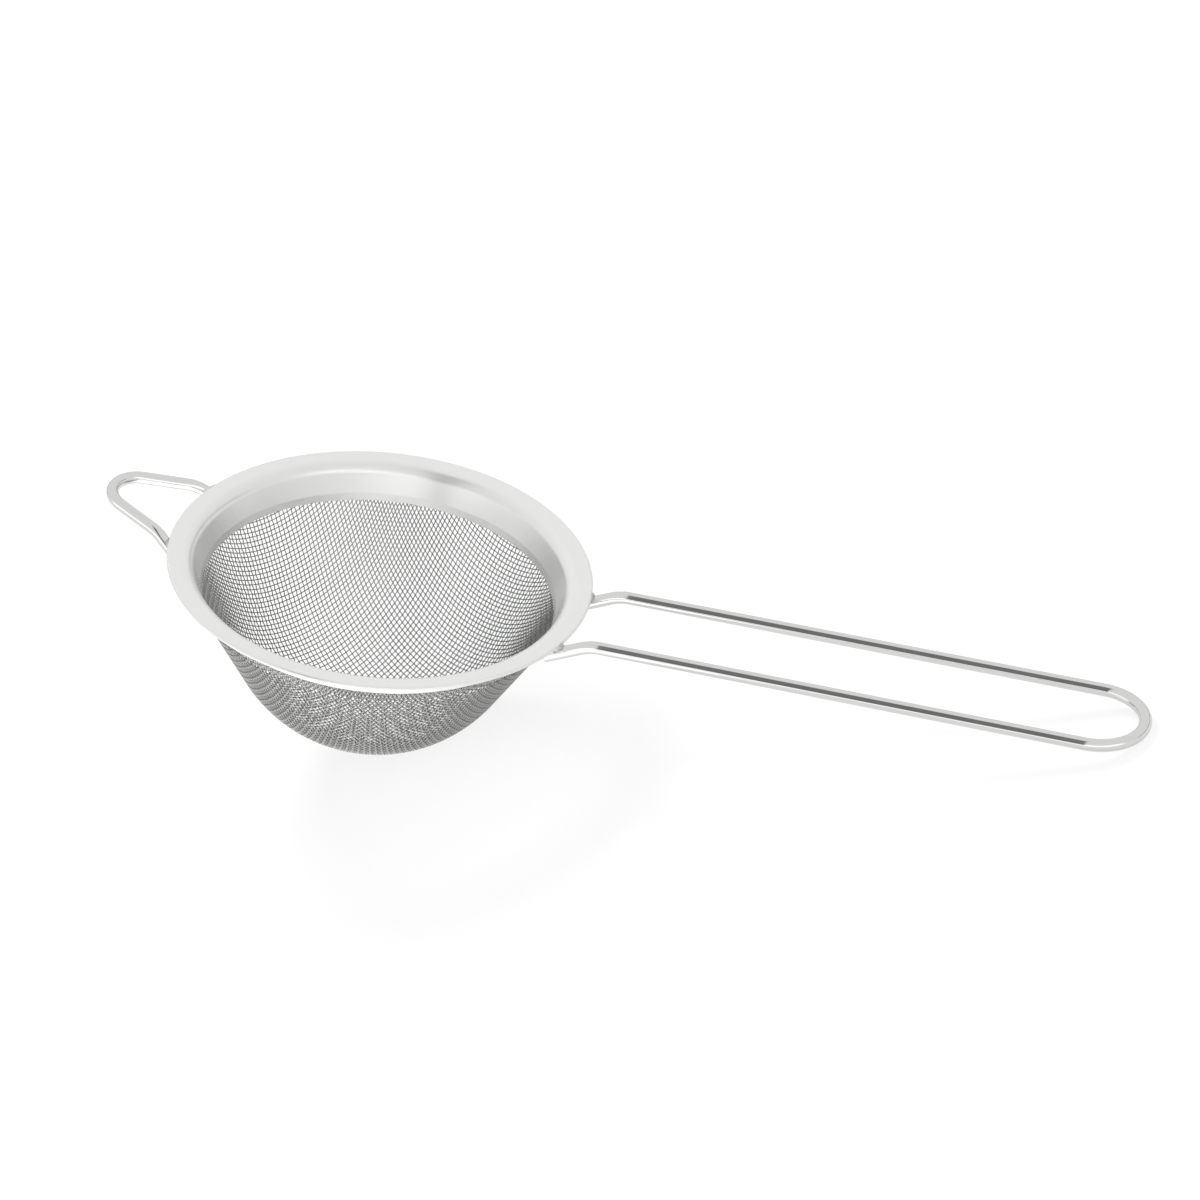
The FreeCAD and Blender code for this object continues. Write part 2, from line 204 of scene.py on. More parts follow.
def addNode(tree, kind, settings=None, values=None, links=None):
    node = tree.nodes.new(kind)
    for name, value in (settings or {}).items():
        setattr(node, name, value)
    for name, value in (values or {}).items():
        node.inputs[name].default_value = value
    for name, source in (links or {}).items():
        tree.links.new(source, node.inputs[name])
    return node


def newMaterial(name):
    material = bpy.data.materials.new(name)
    material.use_nodes = True
    material.node_tree.nodes.clear()
    return material, material.node_tree


cloudShare = 0.45              # of the finish's unevenness; the rest follows the polishing lines


def steelMaterial(name, look):
    # stainless steel: a grey mirror, softened by polishing lines that run along the surface;
    # metal below 1 mixes in a pale matt share, so that the piece mirrors less of the room
    material, tree = newMaterial(name)
    spot = addNode(tree, "ShaderNodeAttribute", {"attribute_name": "surfaceSpot"})
    lines = addNode(tree, "ShaderNodeMapping", values={"Scale": look["lineScale"]},
                    links={"Vector": spot.outputs["Vector"]})
    scratches = addNode(tree, "ShaderNodeTexNoise", values={"Scale": 1.0, "Detail": 4.0, "Roughness": 0.6},
                        links={"Vector": lines.outputs["Vector"]})
    place = addNode(tree, "ShaderNodeTexCoord")
    cloudy = addNode(tree, "ShaderNodeTexNoise", values={"Scale": look["cloudScale"], "Detail": 3.0},
                     links={"Vector": place.outputs["Object"]})
    both = addNode(tree, "ShaderNodeMix", {"data_type": "FLOAT"},
                   {0: cloudShare}, {2: scratches.outputs[0], 3: cloudy.outputs[0]})
    low, high = look["roughness"]
    rough = addNode(tree, "ShaderNodeMapRange",
                    values={"From Min": 0.3, "From Max": 0.7, "To Min": low, "To Max": high},
                    links={"Value": both.outputs[0]})
    tone = addNode(tree, "ShaderNodeMix", {"data_type": "RGBA"},
                   {6: toLinear(look["darker"]), 7: toLinear(look["lighter"])}, {0: both.outputs[0]})
    bump = addNode(tree, "ShaderNodeBump", values={"Strength": look["bump"], "Distance": 0.00002},
                   links={"Height": scratches.outputs[0]})
    shader = addNode(tree, "ShaderNodeBsdfPrincipled", values={"Metallic": look["metal"]},
                     links={"Base Color": tone.outputs[2], "Roughness": rough.outputs[0],
                            "Normal": bump.outputs[0]})
    addNode(tree, "ShaderNodeOutputMaterial", links={"Surface": shader.outputs[0]})
    return material


# satin sheet: fine lines run round the rim and blur what it mirrors to a soft pale grey
satinSheet = steelMaterial("satinStainlessSheet", {
    "lineScale": (4.0, 4.0, 9.0), "cloudScale": 60.0, "roughness": (0.23, 0.27),
    "darker": "#E8E8E7", "lighter": "#EFEFEE", "bump": 0.015, "metal": 0.6})
# drawn and polished wire: faint lines along its length
polishedWire = steelMaterial("polishedStainlessWire", {
    "lineScale": (5.0, 5.0, 0.15), "cloudScale": 90.0, "roughness": (0.06, 0.13),
    "darker": "#E0E0DF", "lighter": "#EEEEED", "bump": 0.06, "metal": 1.0})
# cloth wire: steel grey, darkened further by painted shade in its colour that stands in for the dark the
# close wires mirror of each other; soft
clothWire = steelMaterial("clothWireSteelWithPaintedShade", {
    "lineScale": (8.0, 8.0, 0.4), "cloudScale": 200.0, "roughness": (0.18, 0.32),
    "darker": "#838381", "lighter": "#A8A8A6", "bump": 0.1, "metal": 1.0})
# resistance weld, brushed clean: matt and a little darker than the wire
weldMetal = steelMaterial("brushedWeld", {
    "lineScale": (3.0, 3.0, 3.0), "cloudScale": 900.0, "roughness": (0.2, 0.38),
    "darker": "#BAB9B7", "lighter": "#D3D2D0", "bump": 0.25, "metal": 1.0})
print("materials ready")


# rim: hem, brim, fold, wall and collar of one pressed sheet

rimSizes = {
    "throatRadius": 36.0, "throatDepth": 6.2, "brimWidth": 7.0, "hemRadius": 0.45, "sheet": 0.3,
    "brimSlope": 5, "foldRadius": 3.0, "wallSlope": 70, "throatBend": 0.3, "collarSlope": 80,
    "collarDrop": 1.6, "edgeRound": 0.09, "turns": 360, "hemSteps": 44, "cornerSteps": 22,
    "longSide": 0.5}
throat = np.array([rimSizes["throatRadius"], -rimSizes["throatDepth"]])
wallRun, collarRun = heading(rimSizes["wallSlope"]), heading(rimSizes["collarSlope"])
collarFoot = throat - collarRun * rimSizes["collarDrop"] / collarRun[1]
hemCentre = np.array([rimSizes["throatRadius"] + rimSizes["brimWidth"], 0]) - rimSizes["hemRadius"]


def rimCorners(offset):
    # the sheet's upper face, or the face that lies offset below it
    brimRun = heading(rimSizes["brimSlope"])
    brimSpot = hemCentre + leftOf(brimRun) * (rimSizes["hemRadius"] - offset)
    wallSpot = throat - leftOf(wallRun) * offset
    collarSpot = throat - leftOf(collarRun) * offset
    foldCorner = meeting(brimSpot, brimRun, wallSpot, wallRun)
    throatCorner = meeting(wallSpot, wallRun, collarSpot, collarRun)
    return [foldCorner, throatCorner, collarFoot - leftOf(collarRun) * offset]


def rimProfile():
    # the sheet's lower face ends on the hem, which rolls on from there until it meets the brim
    brimRun, hem, sheet = heading(rimSizes["brimSlope"]), rimSizes["hemRadius"], rimSizes["sheet"]
    joint = (hem - sheet) / hem
    under = hemCentre + hem * (leftOf(brimRun) * joint - brimRun * math.sqrt(1 - joint ** 2))
    first = rimSizes["brimSlope"] + 180 - math.degrees(math.asin(joint))
    last = rimSizes["brimSlope"] + 450
    turned = np.radians(np.linspace(first, last, rimSizes["hemSteps"])[1:])
    roll = hemCentre + hem * np.stack([np.cos(turned), np.sin(turned)], -1)
    corners = rimCorners(0) + rimCorners(sheet)[::-1] + [under, roll[-1]]
    edge, fold, bend = rimSizes["edgeRound"], rimSizes["foldRadius"], rimSizes["throatBend"]
    radii = [fold, bend, edge, edge, bend, fold - sheet, 0, 0]
    outline = roundedOutline(corners, radii, rimSizes["cornerSteps"])
    return supported(np.concatenate([outline[:-1], roll]), rimSizes["longSide"])


def latheSpots(profile, turns):
    # polishing lines follow the turn: the third coordinate is the way along the profile, in millimetres
    steps = np.linalg.norm(np.diff(profile, axis=0), axis=1)
    way = np.concatenate([[0], np.cumsum(steps)])
    angle = np.linspace(0, 2 * math.pi, turns, endpoint=False)[:, None]
    return np.stack([np.cos(angle) + 0 * way, np.sin(angle) + 0 * way, way + 0 * angle], -1)


def lathePiece(name, profile, turns, material, replaced):
    spots = lathe(profile, turns)
    faces = facingOut(spots, [gridFaces(turns, len(profile), True, True)])
    makePiece(name, spots, faces, material, replaced, latheSpots(profile, turns))


lathePiece("rimSheet", rimProfile(), rimSizes["turns"], satinSheet, ["rim"])


# clamp ring: a narrow strip outside the cloth's edge, high on the wall, under the brim

clampSizes = {"sheet": 0.3, "band": 1.2, "cloth": 0.46, "clothClimb": 2.9, "edgeRound": 0.07,
              "turns": 240, "cornerSteps": 6, "longSide": 0.3}


def clampProfile():
    seat = rimSizes["sheet"] + clampSizes["cloth"] + 2 * seatGap
    low = throat - leftOf(wallRun) * seat + wallRun * (clampSizes["clothClimb"] - clampSizes["band"])
    high = low + wallRun * clampSizes["band"]
    out = -leftOf(wallRun) * clampSizes["sheet"]
    corners = [low, low + out, high + out, high]
    outline = roundedOutline(corners, [clampSizes["edgeRound"]] * 4, clampSizes["cornerSteps"])
    return supported(outline, clampSizes["longSide"])


lathePiece("clampRing", clampProfile(), clampSizes["turns"], satinSheet,
           ["clamp_ring"])


# bent wires

wireSizes = {
    "radius": 1.25, "tuckSlope": 30, "inset": 2.6, "endRound": 0.35, "sides": 40,
    "arcStep": 3.0, "fewestSteps": 6, "endSteps": 6,
    "longRun": 2,          # runs longer than this get points between their ends, at runShares
    "runShares": (0.03, 0.5, 0.97), "lastShares": (0.1, 0.9)}


def legCorners(kneeAcross, kneeSide, flare):
    # in plan the leg runs from the knee along the flare and crosses the hem's middle circle;
    # there it passes below the hem by both radii and the gap, measured square to the wire
    ahead = np.array([-math.cos(flare), math.sin(flare)])
    knee = np.array([kneeAcross, kneeSide])
    along = knee @ ahead
    halfChord = math.sqrt(along ** 2 - knee @ knee + hemCentre[0] ** 2)
    hemRun = -along - halfChord
    crossing = knee + ahead * hemRun
    fall = math.tan(math.radians(wireSizes["tuckSlope"]))
    clearance = rimSizes["hemRadius"] + wireSizes["radius"] + seatGap
    hemHigh = hemCentre[1] - clearance * math.hypot(1, fall * hemCentre[0] / halfChord)
    end = np.append(crossing + ahead * wireSizes["inset"], hemHigh - wireSizes["inset"] * fall)
    return end, np.append(knee, hemHigh + hemRun * fall), np.append(crossing, hemHigh)


def bentPath(corners, radii):
    # straight runs joined by arcs
    points = [corners[0]]
    for before, corner, after, radius in zip(corners, corners[1:], corners[2:], radii):
        arc = cornerArc(before, corner, after, radius, wireSizes["fewestSteps"], wireSizes["arcStep"])
        run = arc[0] - points[-1]
        if np.linalg.norm(run) > wireSizes["longRun"]:
            points += [points[-1] + run * share for share in wireSizes["runShares"]]
        points += list(arc)
    run = corners[-1] - points[-1]
    points += [points[-1] + run * share for share in wireSizes["lastShares"]]
    return np.array(points + [corners[-1]])


def wirePiece(name, path, replaced):
    # a circle carried along the path: spot = path + r (side cos a + lift sin a), with rounded ends
    radius, endRound = wireSizes["radius"], wireSizes["endRound"]
    tangent = unit(np.gradient(path, axis=0))
    tangent[[0, -1]] = unit(np.stack([path[1] - path[0], path[-1] - path[-2]]))
    turn = np.linspace(0, math.pi / 2, wireSizes["endSteps"])[:, None]
    rounding = radius - endRound + endRound * np.sin(turn[:, 0])
    starts = path[0] + tangent[0] * endRound * (1 - np.cos(turn))
    finishes = path[-1] - tangent[-1] * endRound * (1 - np.cos(turn[::-1]))
    centres = np.concatenate([starts, path[1:-1], finishes])
    radii = np.concatenate([rounding, np.full(len(path) - 2, radius), rounding[::-1]])
    headings = np.concatenate([np.repeat(tangent[:1], len(turn), 0), tangent[1:-1],
                               np.repeat(tangent[-1:], len(turn), 0)])
    side = unit(np.cross(headings, [0, 0, 1]))
    lift = np.cross(side, headings)
    angle = np.linspace(0, 2 * math.pi, wireSizes["sides"], endpoint=False)[None, :, None]
    ring = side[:, None] * np.cos(angle) + lift[:, None] * np.sin(angle)
    spots = centres[:, None] + ring * radii[:, None, None]
    way = np.concatenate([[0], np.cumsum(np.linalg.norm(np.diff(centres, axis=0), axis=1))])
    around = np.concatenate([radius * np.cos(angle), radius * np.sin(angle)], -1) + 0 * way[:, None, None]
    along = way[:, None, None] + 0 * angle
    firstEnd = np.arange(wireSizes["sides"])[None, :]
    lastEnd = len(centres) * wireSizes["sides"] - 1 - firstEnd
    skin = gridFaces(len(centres), wireSizes["sides"], False, True)
    faces = facingOut(spots, [skin, firstEnd, lastEnd])
    makePiece(name, spots, faces, polishedWire, replaced, np.concatenate([around, along], -1))


handleSizes = {"length": 112.7, "halfGap": 9.8, "rise": 5.3, "knee": 4.7, "bend": 10.0}
hookSizes = {"length": 15.5, "tipRadius": 6.2, "flare": 22, "rise": 6.6, "knee": 1.8, "bend": 8.0}
hemOutside = rimSizes["throatRadius"] + rimSizes["brimWidth"]
mirrored = np.array([1, -1, 1])


def makeHandle():
    knee, halfGap = hemOutside + handleSizes["knee"], handleSizes["halfGap"]
    end, bend, crossing = legCorners(knee, halfGap, 0)
    climb = math.tan(math.radians(handleSizes["rise"]))
    tipHigh = bend[2] + (handleSizes["length"] - handleSizes["knee"]) * climb
    tip = np.array([hemOutside + handleSizes["length"], halfGap, tipHigh])
    corners = [end * mirrored, bend * mirrored, tip * mirrored, tip, bend, end]
    radii = [handleSizes["bend"], halfGap, halfGap, handleSizes["bend"]]
    wirePiece("handleWire", bentPath(corners, radii), ["handle_wire"])
    return [crossing * mirrored, crossing]


def makeHook():
    flare, tipRadius = math.radians(hookSizes["flare"]), hookSizes["tipRadius"]
    knee = hemOutside + hookSizes["knee"]
    apex = hemOutside + hookSizes["length"] - tipRadius + tipRadius / math.sin(flare)
    end, bend, crossing = legCorners(knee, (apex - knee) * math.tan(flare), flare)
    apexHigh = bend[2] + (apex - knee) * math.tan(math.radians(hookSizes["rise"]))
    corners = [end * mirrored, bend * mirrored, np.array([apex, 0, apexHigh]), bend, end]
    turned = [corner * np.array([-1, 1, 1]) for corner in corners]
    radii = [hookSizes["bend"], tipRadius, hookSizes["bend"]]
    wirePiece("restHook", bentPath(turned, radii), ["rest_hook"])
    return [-crossing * np.array([1, 1, -1]), crossing * np.array([-1, 1, 1])]


handleCrossings = makeHandle()
hookCrossings = makeHook()


# welds: a bead squeezed out where each wire crosses the hem

weldSizes = {"across": 1.1, "alongHem": 1.25, "high": 0.95, "ripple": 0.06, "rings": 20, "turns": 32}


def makeWelds(name, crossings, replaced):
    # an ellipsoid (a cos v cos u, b cos v sin u, c sin v), rippled by sines of both angles
    v = np.linspace(-math.pi / 2, math.pi / 2, weldSizes["rings"])[1:-1][None, :]
    u = np.linspace(0, 2 * math.pi, weldSizes["turns"], endpoint=False)[:, None]
    waves = np.sin(3 * u + 2 * v) * np.cos(2 * v) + 0.6 * np.cos(5 * u - 3 * v)
    ripple = 1 + weldSizes["ripple"] * waves
    beads, faces, surface, first = [], [], [], 0
    for crossing in crossings:
        onHem = np.append(unit(crossing[:2]) * hemCentre[0], hemCentre[1])
        share = rimSizes["hemRadius"] / (rimSizes["hemRadius"] + wireSizes["radius"])
        middle = onHem + (crossing - onHem) * share
        outward = unit(np.append(crossing[:2], 0))
        sideways = np.array([-outward[1], outward[0], 0])
        skin = (outward * (weldSizes["across"] * ripple * np.cos(v) * np.cos(u))[..., None]
                + sideways * (weldSizes["alongHem"] * ripple * np.cos(v) * np.sin(u))[..., None]
                + np.array([0, 0, 1]) * (weldSizes["high"] * ripple * np.sin(v) + 0 * u)[..., None])
        spots = np.concatenate([(middle + skin).reshape(-1, 3),
                                middle + np.outer([-1, 1], [0, 0, weldSizes["high"]])])
        rows, columns = skin.shape[:2]
        row = np.arange(rows)
        following = (row + 1) % rows
        low, high = rows * columns, rows * columns + 1
        caps = np.concatenate([np.stack([row * columns, 0 * row + low, following * columns], -1),
                               np.stack([following * columns + columns - 1, 0 * row + high,
                                         row * columns + columns - 1], -1)])
        closed = facingOut(spots, [gridFaces(rows, columns, True, False), caps])
        faces += [part + first for part in closed]
        beads.append(spots)
        surface.append(spots - middle)
        first += len(spots)
    makePiece(name, np.concatenate(beads), faces, weldMetal, replaced,
              np.concatenate(surface))


makeWelds("handleWelds", handleCrossings, ["handle_welds"])
makeWelds("hookWelds", hookCrossings, ["hook_welds"])


# bowl: plain woven cloth, every wire laid singly

clothSizes = {
    "pitch": 1.0,          # middle to middle of neighbouring wires
    "wireRadius": 0.115, "bowlSlope": 60.9, "bowlRound": 31.4,
    "turned": 62.5,        # the warp at the bottom of the bowl, from the handle's direction
    "halfBlank": 60,       # the net is laid this far from the bottom, and cut off at the edge
    "wallReach": 9,        # how far up the wall the profile is followed
    "sides": 6,
    "threadShift": 37.0,   # sets each wire's polishing lines off from its neighbour's
    "unevenness": 0.035, "wander": 3, "seed": 7}
# a crossing is left out when its steps don't settle to within miss, or its rows lie too flat
netSearch = {"steps": 7, "flattest": 1e-6, "miss": 1e-4}
slopeRun = heading(clothSizes["bowlSlope"])
clothInside = collarFoot - leftOf(collarRun) * (rimSizes["sheet"] + seatGap)
coneSpot = clothInside - leftOf(slopeRun) * clampSizes["cloth"] / 2
bandSpot = clothInside - leftOf(collarRun) * clampSizes["cloth"] / 2
wallGap = rimSizes["sheet"] + seatGap + clampSizes["cloth"] / 2
wallSpot = throat - leftOf(wallRun) * wallGap
coneTop = meeting(coneSpot, slopeRun, bandSpot, collarRun)
bandTop = meeting(bandSpot, collarRun, wallSpot, wallRun)
clothTop = wallSpot + wallRun * clampSizes["clothClimb"]
innerRound = clothSizes["bowlRound"] - clampSizes["cloth"] / 2
roundCentre = clothInside[1] - clothInside[0] * slopeRun[1] / slopeRun[0] + innerRound / slopeRun[0]


def offSurface(points):
    # signed distance to the middle of the cloth: a sphere below, a cone above it, the band behind
    # the collar and the wall's outside; the cone meets the band by the larger distance, and the
    # band meets the wall by the smaller one
    radius = np.hypot(points[..., 0], points[..., 1])
    high = points[..., 2] - roundCentre
    sphere = np.hypot(radius, high) - clothSizes["bowlRound"]
    cone = radius * slopeRun[1] - high * slopeRun[0] - clothSizes["bowlRound"]
    band = (radius - bandSpot[0]) * collarRun[1] - (points[..., 2] - bandSpot[1]) * collarRun[0]
    wall = (radius - wallSpot[0]) * wallRun[1] - (points[..., 2] - wallSpot[1]) * wallRun[0]
    onSphere = np.arctan2(radius, -high) < math.radians(clothSizes["bowlSlope"])
    return np.maximum(np.where(onSphere, sphere, cone), np.minimum(band, wall))


def surfaceNormal(points):
    # the distance's gradient, from differences of 0.1 micrometre
    step = np.eye(3) * 1e-4
    slopes = [offSurface(points + step[k]) - offSurface(points - step[k]) for k in range(3)]
    return unit(np.stack(slopes, -1))


def meridian(way):
    # the bowl's profile by its length from the bottom: an arc, then straight runs up the cone,
    # the band and the wall
    ball, slope = clothSizes["bowlRound"], math.radians(clothSizes["bowlSlope"])
    angle = np.minimum(way / ball, slope)
    arcEnd = np.array([ball * math.sin(slope), roundCentre - ball * math.cos(slope)])
    runs = np.array([arcEnd, coneTop, bandTop, bandTop + wallRun * clothSizes["wallReach"]])
    lengths = np.concatenate([[0], np.cumsum(np.linalg.norm(np.diff(runs, axis=0), axis=1))])
    above = way - ball * slope
    across = np.where(above < 0, ball * np.sin(angle), np.interp(above, lengths, runs[:, 0]))
    high = np.where(above < 0, roundCentre - ball * np.cos(angle), np.interp(above, lengths, runs[:, 1]))
    return across, high


def quarterNet(pitch, count):
    # cloth keeps its wire lengths and only shears: each crossing lies one pitch from the two before
    # it and on the surface, found row by diagonal row with Newton steps
    net = np.full((count, count, 3), np.nan)
    across, high = meridian(np.arange(count) * pitch)
    net[:, 0] = np.stack([across, 0 * across, high], -1)
    net[0, :] = np.stack([0 * across, across, high], -1)
    for diagonal in range(2, 2 * count - 1):
        i = np.arange(max(1, diagonal - count + 1), min(count - 1, diagonal - 1) + 1)
        j = diagonal - i
        first, second, behind = net[i - 1, j], net[i, j - 1], net[i - 1, j - 1]
        known = ~np.isnan(first + second + behind).any(-1)
        i, j, first, second, behind = i[known], j[known], first[known], second[known], behind[known]
        if len(i) == 0:
            continue
        spot = first + second - behind
        for _ in range(netSearch["steps"]):
            rows = np.stack([2 * (spot - first), 2 * (spot - second), surfaceNormal(spot)], 1)
            miss = np.stack([((spot - first) ** 2).sum(-1) - pitch ** 2,
                             ((spot - second) ** 2).sum(-1) - pitch ** 2, offSurface(spot)], -1)
            usable = np.abs(np.linalg.det(rows)) > netSearch["flattest"]
            rows[~usable] = np.eye(3)
            spot = spot - np.clip(np.linalg.solve(rows, miss[..., None])[..., 0], -pitch, pitch)
        found = usable & (np.abs(miss).max(-1) < netSearch["miss"])
        good = found & (spot[:, 2] < clothTop[1] + pitch)
        net[i[good], j[good]] = spot[good]
    return net


def wholeNet(pitch):
    # the quarter turned by 90, 180 and 270 degrees about the axis
    count = int(clothSizes["halfBlank"] / pitch)
    quarter = quarterNet(pitch, count)
    net = np.full((2 * count - 1, 2 * count - 1, 3), np.nan)
    middle = count - 1
    reach = np.arange(count)
    i, j = np.meshgrid(reach, reach, indexing="ij")
    for _ in range(4):
        net[middle + i, middle + j] = quarter
        quarter = np.stack([-quarter[..., 1], quarter[..., 0], quarter[..., 2]], -1)
        i, j = -j, i
    turn = math.radians(clothSizes["turned"])
    x, y = net[..., 0].copy(), net[..., 1].copy()
    net[..., 0] = x * math.cos(turn) - y * math.sin(turn)
    net[..., 1] = x * math.sin(turn) + y * math.cos(turn)
    return net


def wovenPaths(net, over):
    # threads run along the second index: crossings lifted by +r or -r in turn, and points between
    sign = over * (1 - 2 * (np.add.outer(np.arange(net.shape[0]), np.arange(net.shape[1])) % 2))
    normal = surfaceNormal(net)
    crossing = net + normal * (sign * clothSizes["wireRadius"])[..., None]
    between = (net[:, :-1] + net[:, 1:]) / 2
    rows, columns = net.shape[:2]
    paths = np.full((rows, 2 * columns - 1, 3), np.nan)
    normals = paths.copy()
    paths[:, ::2], paths[:, 1::2] = crossing, between
    normals[:, ::2], normals[:, 1::2] = normal, unit(normal[:, :-1] + normal[:, 1:])
    return paths, normals


def clothPiece(name, net, over):
    paths, normals = wovenPaths(net, over)
    shown = ~np.isnan(paths).any(-1) & (np.nan_to_num(paths[..., 2], nan=np.inf) < clothTop[1])
    before = np.roll(paths, 1, axis=1)
    after = np.roll(paths, -1, axis=1)
    before[np.isnan(before)] = paths[np.isnan(before)]
    after[np.isnan(after)] = paths[np.isnan(after)]
    tangent = unit(np.where(shown[..., None], after - before, [1.0, 0, 0]))
    side = unit(np.cross(np.where(shown[..., None], normals, [0, 0, 1.0]), tangent))
    lift = np.cross(tangent, side)
    angle = np.linspace(0, 2 * math.pi, clothSizes["sides"], endpoint=False)
    radius = clothSizes["wireRadius"]
    ring = side[..., None, :] * np.cos(angle)[:, None] + lift[..., None, :] * np.sin(angle)[:, None]
    spots = np.where(shown[..., None], paths, 0)[..., None, :] + ring * radius
    threads, samples, sides = spots.shape[:3]
    corner = np.arange(threads * samples * sides).reshape(threads, samples, sides)
    joined = shown[:, :-1] & shown[:, 1:]
    near, far = corner[:, :-1][joined], corner[:, 1:][joined]
    walls = np.stack([near, far, np.roll(far, -1, 1), np.roll(near, -1, 1)], -1).reshape(-1, 4)
    starts = shown.copy()
    starts[:, 1:] &= ~shown[:, :-1]
    finishes = shown.copy()
    finishes[:, :-1] &= ~shown[:, 1:]
    faces = facingOut(spots, [walls, corner[starts], corner[finishes][:, ::-1]])
    shifts = np.arange(threads)[:, None] * clothSizes["threadShift"]
    way = np.arange(samples) * clothSizes["pitch"] / 2 + shifts
    surface = np.broadcast_arrays(radius * np.cos(angle), radius * np.sin(angle), way[..., None])
    makePiece(name, spots, faces, clothWire, ["mesh_bowl"], np.stack(surface, -1))


def unevenNet(net):
    # each wire wanders a little from its place, less than the gap, and stays on the surface
    luck = np.random.default_rng(clothSizes["seed"])
    size = net.shape[0]
    along = np.cumsum(luck.normal(0, 1, (2, size, size)), axis=2)
    along -= along.mean(axis=2, keepdims=True)
    shift = clothSizes["unevenness"] * np.tanh(along / clothSizes["wander"])
    warpStep, weftStep = np.gradient(np.nan_to_num(net), axis=(0, 1))
    moved = net + warpStep * shift[0][..., None] + weftStep * shift[1].T[..., None]
    return moved - surfaceNormal(moved) * offSurface(moved)[..., None]


clothNet = unevenNet(wholeNet(clothSizes["pitch"]))
clothPiece("clothWarp", clothNet, 1)
clothPiece("clothWeft", np.swapaxes(clothNet, 0, 1), -1)


# floor, light and camera

studioLook = {
    "floorShade": "#F2F2F2", "floorPaler": "#F5F5F5", "floorGrain": 40.0, "floorHalf": 3.0,
    # the share of the floor that only glows, where the camera or the metal sees it
    "floorHidden": 0.74, "floorGlow": 1.03,
    # what the metal mirrors: a bright pool in front of the bowl, and a duller floor away from it
    "poolMiddle": (-0.08, -0.09, 0), "poolReach": (0.06, 0.11), "poolLevels": (0.9, -0.25),
    "roomLevel": 1.0,
    # a dark drape hangs across the near side, square to the handle, and is darkest at its foot
    "handleHeading": (0.974, 0, -0.227), "drapeSide": 0.175, "drapeHalf": (0.09, 0.15),
    "drapeMiddle": (-0.08, -0.648, 0.758), "drapeReach": (0.73, 0.85),
    "drapeHigh": (0.05, 0.35), "drapeLevels": (0.03, 0.22),
    # a low white wall on the near side is the brightest, and lights the far side of the rim
    "nearSide": (0.1, 0.5), "nearHigh": (0.30, 0.48), "nearLevel": 1.65,
    # a grey skirting runs low behind the strainer and draws thin edges on the wires
    "skirtHigh": (0.03, 0.13), "skirtBehind": (0.1, 0.4), "skirtLevel": 0.2}


def ramp(tree, source, start, finish, low, high):
    # a soft step from low to high while the source goes from start to finish
    step = addNode(tree, "ShaderNodeMapRange", {"interpolation_type": "SMOOTHSTEP"},
                   {"From Min": start, "From Max": finish, "To Min": low, "To Max": high},
                   {"Value": source})
    return step.outputs[0]


def arithmetic(tree, operation, first, second):
    values = {1: second} if isinstance(second, float) else None
    links = {0: first} if values else {0: first, 1: second}
    return addNode(tree, "ShaderNodeMath", {"operation": operation}, values, links).outputs[0]


def alongDirection(tree, place, direction):
    dot = addNode(tree, "ShaderNodeVectorMath", {"operation": "DOT_PRODUCT"},
                  {1: Vector(direction).normalized()}, {0: place})
    return dot.outputs["Value"]


def makeFloor():
    # pale matt floor; what the camera and the metal see of it mostly glows, and the rest is lit,
    # so that it keeps the strainer's shadow
    material, tree = newMaterial("paleStudioFloor")
    grain = addNode(tree, "ShaderNodeTexNoise", values={"Scale": studioLook["floorGrain"]})
    shade = addNode(tree, "ShaderNodeMix", {"data_type": "RGBA"},
                    {6: toLinear(studioLook["floorShade"]), 7: toLinear(studioLook["floorPaler"])},
                    {0: grain.outputs[0]})
    matt = addNode(tree, "ShaderNodeBsdfDiffuse", links={"Color": shade.outputs[2]})
    path = addNode(tree, "ShaderNodeLightPath").outputs
    place = addNode(tree, "ShaderNodeTexCoord")
    fromPool = addNode(tree, "ShaderNodeVectorMath", {"operation": "DISTANCE"},
                       {1: studioLook["poolMiddle"]}, {0: place.outputs["Object"]})
    pool = ramp(tree, fromPool.outputs["Value"], *studioLook["poolReach"], *studioLook["poolLevels"])
    strength = addNode(tree, "ShaderNodeMath", {"operation": "MULTIPLY_ADD"},
                       {2: studioLook["floorGlow"]}, {0: path["Is Glossy Ray"], 1: pool})
    glow = addNode(tree, "ShaderNodeEmission", links={"Strength": strength.outputs[0]})
    seen = arithmetic(tree, "MAXIMUM", path["Is Camera Ray"], path["Is Glossy Ray"])
    seen = arithmetic(tree, "MAXIMUM", seen, path["Is Transmission Ray"])
    share = arithmetic(tree, "MULTIPLY", seen, studioLook["floorHidden"])
    both = addNode(tree, "ShaderNodeMixShader", None, None,
                   {0: share, 1: matt.outputs[0], 2: glow.outputs[0]})
    addNode(tree, "ShaderNodeOutputMaterial", links={"Surface": both.outputs[0]})
    half = studioLook["floorHalf"]
    mesh = bpy.data.meshes.new("studioFloor")
    corners = [(-half, -half, 0), (half, -half, 0), (half, half, 0), (-half, half, 0)]
    mesh.from_pydata(corners, [], [(0, 1, 2, 3)])
    mesh.materials.append(material)
    floor = bpy.data.objects.new("studioFloor", mesh)
    bpy.context.scene.collection.objects.link(floor)


